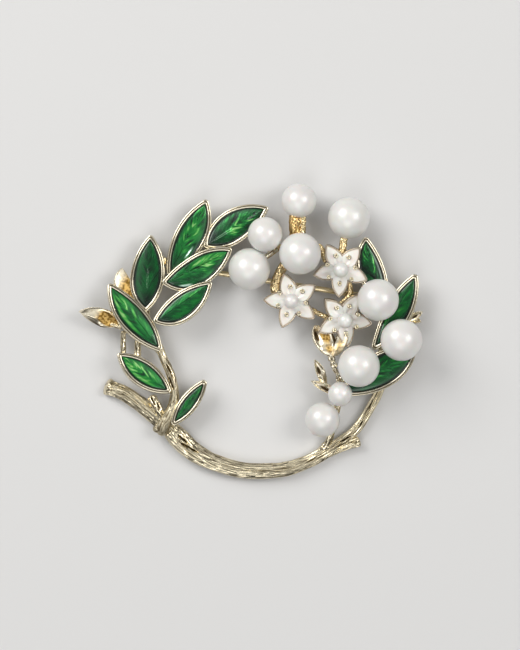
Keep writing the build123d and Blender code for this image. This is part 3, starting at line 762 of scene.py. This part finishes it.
def spoon(row, depth, start, end, drop, tones):
    """Rings of a plain leaf, from foot to tip: over its face, hollow or ridged, and back under it."""
    _, _, _, _, length, left, right, left_belly, right_belly, *_ = row
    whole = length * leaf_length
    rings = []
    marks = []
    for station in range(1, blade_stations):
        x = whole * (1 - cos(pi * station / blade_stations)) / 2
        along = x / whole
        left_half = max(leaf_side(x, whole, left, left_belly)[0], 0.01)
        right_half = max(leaf_side(x, whole, right, right_belly)[0], 0.01)
        deep = depth * min(1, 1.6 * sin(pi * along) ** 0.8)
        hollow = ease((along - start) / hollow_fade + 0.5) * ease((end - along) / hollow_fade + 0.5)
        face = []
        for across in blade_across:
            away = abs(across)
            lip = lip_size * exp(-((away - blade_lip) / lip_size) ** 2)
            dish = deep * (1 - min(away / hollow_edge, 1) ** 2) - lip
            ridge = 0.05 - drop * away ** 1.3
            up = blade_thickness - hollow * dish + (1 - hollow) * ridge
            y = across * (left_half if across > 0 else right_half)
            face.append((x, y, up - 2 * max(0, away - blade_lip)))
        back = [(x, y, 0.12 * abs(across) ** 3) for (_, y, _), across in zip(face[::-1], blade_across[::-1])]
        rings.append(face + back)
        marks.append([(along, across, tone_at(along, across, tones)) for across in blade_across]
                     + [(along, 1, 0)] * len(back))
    return rings, marks


plain_leaves = Skin()
for row, columns in zip(blade_rows, hollow_rows):
    rings, marks = spoon(row, *columns)
    plain_leaves.add(rings, leaf_plane(row), marks)
plain_leaves.cast("plain_leaves", hollow.material)


# The leaf enamel: clear green enamel over an engraved, shining ground, melted into each tray
# It is darker towards the foot and has painted shade along the rim, the engraving shows as pale strokes, and
# painted highlights lie in a streak and where it pools at a wall.
emerald = Finish("emerald_enamel", Metallic=0.5, Coat_Weight=0.85, Coat_Roughness=0.03, Coat_IOR=1.45)
along = emerald.node("ShaderNodeSeparateXYZ", {}, emerald.mark("place", "Vector"))
across = along.also("Y")
leaf_number = along.also("Z")
from_rib = abs(across - 0.1)
# engraved barbs that sweep forward from a rib, in a plume over the outer half of the leaf
barb = along - from_rib * 0.26


def drawn_out(run, stretch, spread, seed, detail):
    """Noise stretched across the leaf, for strokes and patches."""
    place = emerald.node("ShaderNodeCombineXYZ", {}, run * stretch, across * spread, seed)
    return emerald.noise(place, 1, detail)


barbs = drawn_out(barb, 13, 1.7, leaf_number * 3.7, 2)
hairs = drawn_out(barb, 36, 2.2, leaf_number * 5.1 + 9, 2)
patches = drawn_out(along, 3.8, 1.3, leaf_number * 2.3 + 4, 1)
plume = along.ramp(0.24, 0.46) * (1 - along.ramp(0.84, 0.99)) * (1 - from_rib.ramp(0.42, 0.84))
plume = plume * emerald.mark("plume")
pale_barbs = barbs.ramp(0.53, 0.72) * 0.52 + hairs.ramp(0.57, 0.72) * 0.2
dark_barbs = (1 - barbs.ramp(0.33, 0.46)) * 0.4
glow = emerald.mark("light") + (patches - 0.5) * 0.75 + plume * (0.1 + pale_barbs - dark_barbs)
glow = glow + (1 - plume) * (pale_barbs * 0.16 - dark_barbs * 0.3)
# darker towards the foot, and painted shade along the rim
glow = glow - (1 - along.ramp(0.02, 0.3)) * 0.24 - (1 - (1 - abs(across)).ramp(0.03, 0.2)) * 0.34
# painted highlight: a pale streak along the left side, where a lamp's reflection lies
streak = (1 - abs(across - 0.7).ramp(0.06, 0.2)) * along.ramp(0.15, 0.35) * (1 - along.ramp(0.8, 0.96))
glow = glow + streak * emerald.mark("streak")
# painted highlight: the enamel turns pale where it pools against the next leaf's wall
painted_glint = 1 - abs(along - emerald.mark("pool_along")).ramp(0.02, 0.11)
painted_glint = painted_glint * (1 - abs(across + emerald.mark("pool_across")).ramp(0.01, 0.12))
greens = emerald.node("ShaderNodeValToRGB", {"stops": [
    (0, (0, 0.012, 0.005)), (0.22, (0.001, 0.044, 0.012)), (0.42, (0.002, 0.12, 0.024)),
    (0.62, (0.012, 0.25, 0.038)), (0.8, (0.065, 0.44, 0.065)), (1, (0.33, 0.7, 0.23)),
]}, glow)
emerald.surface(
    emerald.colour(painted_glint * 0.8, greens, (0.62, 0.86, 0.74)), barbs * (0.4 + plume) + hairs * 0.4, 0.07, 0.9,
    Roughness=0.32 - barbs * 0.12,
)
# how light each leaf's enamel is; how strong its plume; how strong the painted highlight streak at its left
# side
enamel_looks = [
    (0.47, 1, 0), (0.33, 1.1, 0), (0.46, 1, 0), (0.42, 0.6, 0), (0.32, 0.15, 0),
    (0.45, 0.75, 0.36), (0.55, 1.1, 0.2), (0.36, 0.6, 0), (0.26, 1, 0), (0.36, 0.5, 0),
    (0.36, 0.7, 0),
]
look_names = ("light", "plume", "streak", "pool_along", "pool_across")
enamel_crown = 0.1
enamel_sag = 0.03
enamel_gap = 0.02
# from this share of its width on, the enamel creeps up the wall
creep_start = 0.93
enamel_floor = leaf_thickness - cell_depth + 0.05
enamel_edge = leaf_thickness - 0.1
enamel_shares = [1, 0.985, 0.965, 0.94, 0.9, 0.85, 0.78, 0.68, 0.56, 0.42, 0.27, 0.12, 0]
# where melted enamel has climbed the next leaf's wall, and a highlight is painted on it: share of the leaf's
# length, and of its right half
pools_and_glints = {"enamel_left_1": (0.34, 0.66), "enamel_left_3": (0.25, 0.84)}
pool_rise = 0.24
pool_length = 0.1


def enamel_rings(row, number):
    """Rings of the enamel in one tray: the bottom, the wall, and over its face to the middle line."""
    edge = cell_outline(row)
    whole = row[4] * leaf_length
    rings = [[(x - enamel_gap * way_x, y - enamel_gap * way_y, enamel_floor) for x, y, way_x, way_y in edge]]
    marks = [[(x / whole, copysign(1, y), number) for x, y, _, _ in edge]]
    for share in enamel_shares:
        creep = max(0, (share - creep_start) / (1 - creep_start)) ** 2
        level = enamel_edge + enamel_sag * (creep - (1 - creep) * share ** 6)
        ring = []
        for x, y, way_x, way_y in edge:
            fade = min(1, 4.5 * x / whole * (1 - x / whole)) ** 0.7
            up = level + enamel_crown * fade * (1 - share ** 2)
            if row[0] in pools_and_glints and y < 0:
                where, side = pools_and_glints[row[0]]
                reach = exp(-((x / whole - where) / pool_length) ** 2)
                up += pool_rise * reach * ease((share - side + 0.15) / 0.3)
            ring.append((x - enamel_gap * way_x, (y - enamel_gap * way_y) * share, up))
        rings.append(ring)
        marks.append([(x / whole, copysign(share, y), number) for x, y, _, _ in edge])
    return rings, marks


for number, (row, look) in enumerate(zip(leaf_rows, enamel_looks)):
    name = row[0]
    rings, marks = enamel_rings(row, number)
    enamel = Skin().add(rings, leaf_plane(row), marks)
    looks = dict(zip(look_names, (*look, *pools_and_glints.get(name, (-1, -1)))))
    enamel.cast(f"{name}_glass", emerald.material, "green_enamel", name, **looks)


# The flowers: five-petalled plates with a hair-thin gold edge, filled with pearly white enamel
# Seven tiny gold tubes stand in a ring through the enamel round the middle pearl.
flower_radius = 4.1
flower_thickness = 1
flower_rim = 0.26
flower_cell_depth = 0.45
flower_pearl = 2.2
pearl_sink = 0.15
stamen_reach = 2.08
stamen_turn = 9.5
stamen_count = 7
petal_count = 5
petal_steps = 11
petal_rise = 0.22
# a petal's foot, belly and tip: share of the flower's radius, and of half the petal's turn
petal_side = ((0.46, 1), (0.74, 0.43), (1, 0))
# name; middle x and y, shares of ring_radius; turn, degrees; level in leaf_step; lean and pitch, degrees
flower_rows = [
    ("flower_enamel_1", 0.678, 0.53, 49, 1.5, 6, -4),
    ("flower_enamel_2", 0.313, 0.291, 34, 1.2, 2, -4),
    ("flower_enamel_3", 0.689, 0.163, 61, 1.2, 12, 10),
]


def flower_plane(row):
    _, x, y, turn, level, lean, pitch = row
    return own_plane(x, y, level, (lean, "X"), (pitch, "Y"), (turn, "Z"))


def flower_outline():
    """Once round the petals' enamel: x, y and the way outwards."""
    tip = flower_radius - flower_rim
    half = pi / petal_count
    # the circle through three places on one side of a petal
    start, middle, end = [
        Vector((reach * tip * cos(turn * half), -reach * tip * sin(turn * half)))
        for reach, turn in petal_side
    ]
    a, b = middle - start, end - start
    turn = 2 * (a.x * b.y - a.y * b.x)
    centre = start + Vector((b.y * a.dot(a) - a.y * b.dot(b), a.x * b.dot(b) - b.x * a.dot(a))) / turn
    first = start - centre
    sweep = first.angle_signed(end - centre)
    side = []
    for step in range(petal_steps + 1):
        spoke = Matrix.Rotation(-sweep * step / petal_steps, 2) @ first
        side.append((*(centre + spoke), *spoke.normalized()))
    mirrored = [(x, -y, way_x, -way_y) for x, y, way_x, way_y in side[::-1]]
    petal = side + corner(end, side[-1][2:], mirrored[0][2:], 6, 1.1) + mirrored
    outline = []
    for number in range(petal_count):
        spin = Matrix.Rotation(2 * half * number, 2)
        for x, y, way_x, way_y in petal:
            outline.append((*(spin @ Vector((x, y))), *(spin @ Vector((way_x, way_y)))))
    return outline


def lifted(x, y, up):
    """A place on a flower, whose petals rise a little towards their points."""
    return x, y, up + petal_rise * (hypot(x, y) / flower_radius) ** 2


flower_profile = [
    (0.2, 0), (0.26, 0.05), (0.27, 0.4), (0.26, 0.86), (0.235, 0.95), (0.18, 0.985), (0.12, 0.95),
    (0.1, 0.86), (0.08, flower_thickness - flower_cell_depth),
]
flower_edge = flower_outline()
rings = [[lifted(*spot) for spot in ring] for ring in swept(flower_edge, flower_profile)]
flower_plates = Skin()
for row in flower_rows:
    flower_plates.add(rings, flower_plane(row), fans=True)
edge_gold = gold("petal_edge_gold", (0.6, 0.52, 0.42), (0.25, 0.19, 0.12), 0.22, 2200, 0.008)
flower_plates.cast("flower_plates", edge_gold)

white = Finish(
    "white_enamel", Roughness=0.28, Coat_Weight=0.9, Coat_Roughness=0.05, Subsurface_Weight=0.12,
    Subsurface_Scale=0.001,
)
milk = white.noise(white.place(), 520, 2)
near_edge = white.node("ShaderNodeSeparateXYZ", {}, white.mark("place", "Vector")).ramp(0.9, 1)
white_tint = white.colour(milk.ramp(0.35, 0.65), (0.86, 0.8, 0.74), (0.9, 0.88, 0.84))
white.surface(white.colour(near_edge, white_tint, (0.62, 0.52, 0.4)), milk, 0.02, 0.3)
petal_shares = [1, 0.98, 0.95, 0.9, 0.83, 0.74, 0.63, 0.5, 0.36, 0.2, 0.06]
petal_overlap = 0.07
petal_edge = [(x + petal_overlap * way_x, y + petal_overlap * way_y) for x, y, way_x, way_y in flower_edge]
petal_floor = flower_thickness - flower_cell_depth + 0.05
petal_crown = 0.13
trough_depth = 0.16
rings = [[(x, y, petal_floor) for x, y in petal_edge]]
for share in petal_shares:
    ring = []
    for x, y in petal_edge:
        x, y = x * share, y * share
        trough = cos((atan2(y, x) * petal_count / 2) % pi) ** 12
        reach = hypot(x, y) / flower_radius
        up = flower_thickness - 0.05 + petal_crown * (1 - share ** 4)
        ring.append(lifted(x, y, up - trough_depth * trough * min(1, 3 * reach * (1 - reach))))
    rings.append(ring)
marks = [[(share, 0, 0)] * len(petal_edge) for share in (1, *petal_shares)]
for row in flower_rows:
    petals = Skin().add(rings, flower_plane(row), marks, fans=True)
    petals.cast(f"{row[0]}_petals", white.material, "white_enamel", row[0])

stamen_lengths = ("Reach", "Ring radius", "Wall radius", "Height")
stamens = Making("ring_of_stamens", stamen_lengths, Count="Int", Metal="Material", Hollow="Material")
given = stamens.given.also
spots = stamens.step("MeshCircle", Vertices=given("Count"), Radius=given("Reach"))
wall = stamens.circle(10, given("Wall radius"))
tube = stamens.step("CurveToMesh", {}, stamens.circle(20, given("Ring radius")), wall)
tall = stamens.node("ShaderNodeCombineXYZ", {}, 1, 1, given("Height") / given("Wall radius"))
shells = [(stamens.step("Transform", Geometry=tube, Scale=tall), "Metal")]
# its floor, and a dark bead in it that is painted shade in the hole: size, flatness, metal
for size, flatness, metal in ((0.95, 0.3, "Metal"), (0.42, 1, "Hollow")):
    bead = stamens.step("MeshUVSphere", Segments=14, Rings=8, Radius=given("Ring radius") * size)
    shells.append((stamens.step("Transform", Geometry=bead, Scale=(1, 1, flatness)), metal))
# the dark line where it comes through the enamel
foot = stamens.circle(6, given("Wall radius") * 0.4)
foot = stamens.step("CurveToMesh", {}, stamens.circle(20, given("Ring radius") * 1.42), foot)
shells.append((stamens.step("Transform", Geometry=foot, Translation=(0, 0, -0.0001)), "Hollow"))
stamen = stamens.step("JoinGeometry")
for shell, metal in shells:
    stamens.tree.links.new(stamens.coated(shell, metal).socket, stamen.socket.node.inputs[0])
posts = stamens.step("InstanceOnPoints", Points=spots, Instance=stamen)
posts = stamens.step("RealizeInstances", {}, posts)
stamens.node("NodeGroupOutput", {}, stamens.step("SetShadeSmooth", {}, posts))
stamen_values = {
    "Count": stamen_count, "Reach": stamen_reach * mm, "Ring radius": 0.26 * mm, "Wall radius": 0.09 * mm,
    "Height": 0.3 * mm, "Metal": polished_gold,
    "Hollow": gold("stamen_hollow", (0.12, 0.09, 0.06), (0.05, 0.04, 0.02), 0.35, 2600, 0.01),
}
in_metres = Matrix.Translation(shift * mm) @ Matrix.Scale(mm, 4)
stamen_seat = Matrix.Translation((0, 0, flower_thickness + 0.12)) @ Matrix.Scale(1 / mm, 4)
stamen_seat = stamen_seat @ Matrix.Rotation(radians(stamen_turn), 4, "Z")
for number, row in enumerate(flower_rows, start=1):
    name = f"stamens_{number}"
    mesh = stamens.make(name, bpy.data.meshes.new(name), stamen_values)
    mesh.transform(in_metres @ flower_plane(row) @ stamen_seat)
    cast_piece(name, mesh)


# The pearls: glass pearls with a pearl lacquer, drilled half through and glued on gold pegs
# The pegs are cast with the twigs. Each pearl's hole opens towards the twig that carries it.
large_pearl = 6
medium_pearl = 5
small_pearl = 3.5
peg_diameter = 0.8
flower_peg_diameter = 0.55
fit_gap = 0.05
# node; x and y, shares of ring_radius; diameter; height of its peg's foot, share of back_depth; the foot's
# x and y where it isn't straight under the pearl
pearl_rows = [
    ("pearl_1", 0.363, 1.033, medium_pearl, 1.6, 0.363, 0.83),
    ("pearl_3", 0.733, 0.904, large_pearl, 1.7, 0.692, 0.7),
    ("pearl_4", -0.005, 0.526, large_pearl, 1.5, 0.21, 0.68),
    ("pearl_2", 0.111, 0.781, medium_pearl, 1.5, 0.19, 0.67),
    ("pearl_5", 0.37, 0.639, large_pearl, 1.4),
    ("pearl_6", 0.946, 0.296, large_pearl, 1.2),
    ("pearl_7", 1.119, 0, large_pearl, 1.2),
    ("pearl_8", 0.805, -0.193, large_pearl, 1.2),
    ("pearl_9", 0.537, -0.591, medium_pearl, 0.9, 0.615, -0.69),
    ("pearl_10", 0.667, -0.4, small_pearl, 1.2),
]
lustre = Finish(
    "pearl_lustre", Roughness=0.38, IOR=1.9, Coat_Weight=0.42, Coat_Roughness=0.24, Coat_IOR=1.8,
    Subsurface_Weight=0.15, Subsurface_Scale=0.0012,
)
clouds = lustre.noise(lustre.place(), 260, 2).ramp(0.35, 0.65)
fine_grain = lustre.noise(lustre.place(), 5200, 1)
lustre.surface(lustre.colour(clouds, (0.775, 0.76, 0.745), (0.8, 0.8, 0.77)), fine_grain, 0.004, 0.25)


def make_pearl(node, diameter, hole, depth, plane, sides=72, levels=44):
    """A drilled pearl about its hole, which opens downwards: up the hole's wall, then over the pearl."""
    radius = diameter / 2
    mouth = asin((hole + 0.04) / radius)
    profile = [(0.001, depth), (hole, depth), (hole, -sqrt(radius ** 2 - hole ** 2) + 0.06)]
    for level in range(levels):
        angle = mouth + (pi - mouth) * level / levels
        profile.append((radius * sin(angle), -radius * cos(angle)))
    profile.append((0.001, radius))
    turns = [tau * side / sides for side in range(sides)]
    rings = [[(out * cos(turn), out * sin(turn), up) for turn in turns] for out, up in profile]
    Skin().add(rings, plane).cast(f"{node}_bead", lustre.material, "pearl", node)


pegs = []
for node, x, y, diameter, height, *foot in pearl_rows:
    centre = at(x, y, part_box(node)[1].z / mm - diameter / 2)
    start = at(*(foot or (x, y)), height * back_depth)
    plane = Matrix.Translation(centre) @ (centre - start).to_track_quat("Z", "Y").to_matrix().to_4x4()
    make_pearl(node, diameter, peg_diameter / 2 + fit_gap, 0.15 * diameter, plane)
    pegs.append([(place, peg_diameter / 2, 0) for place in (start, (start + centre) / 2, centre)])
flower_seat = Matrix.Translation((0, 0, flower_thickness + flower_pearl / 2 - pearl_sink))
hole = flower_peg_diameter / 2 + fit_gap
for number, row in enumerate(flower_rows, start=1):
    plane = flower_plane(row)
    make_pearl(f"flower_pearl_{number}", flower_pearl, hole, 0.2 * flower_pearl, plane @ flower_seat, 48, 30)
    spots = [plane @ Vector((0, 0, height)) for height in (0.5, 1.2, 1.9)]
    pegs.append([(spot, flower_peg_diameter / 2, 0) for spot in spots])
wires("pearl_pegs", pegs, polished_gold, (0.15, 1.0, 1.0, 0.0, 0.0, 24, 0.3, 0.0, 1.0))


# The pin: a hinge, a stem and a catch soldered to the backs, in brushed plated steel
# It is mostly hidden behind the leaves and pearls, and stays as the solid has it.
pin_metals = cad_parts["pin_back"].data.materials
pin_metals.clear()
pin_metals.append(gold("pin_gold", (0.86, 0.72, 0.45), (0.4, 0.3, 0.12), 0.22, 3000, 0.01))
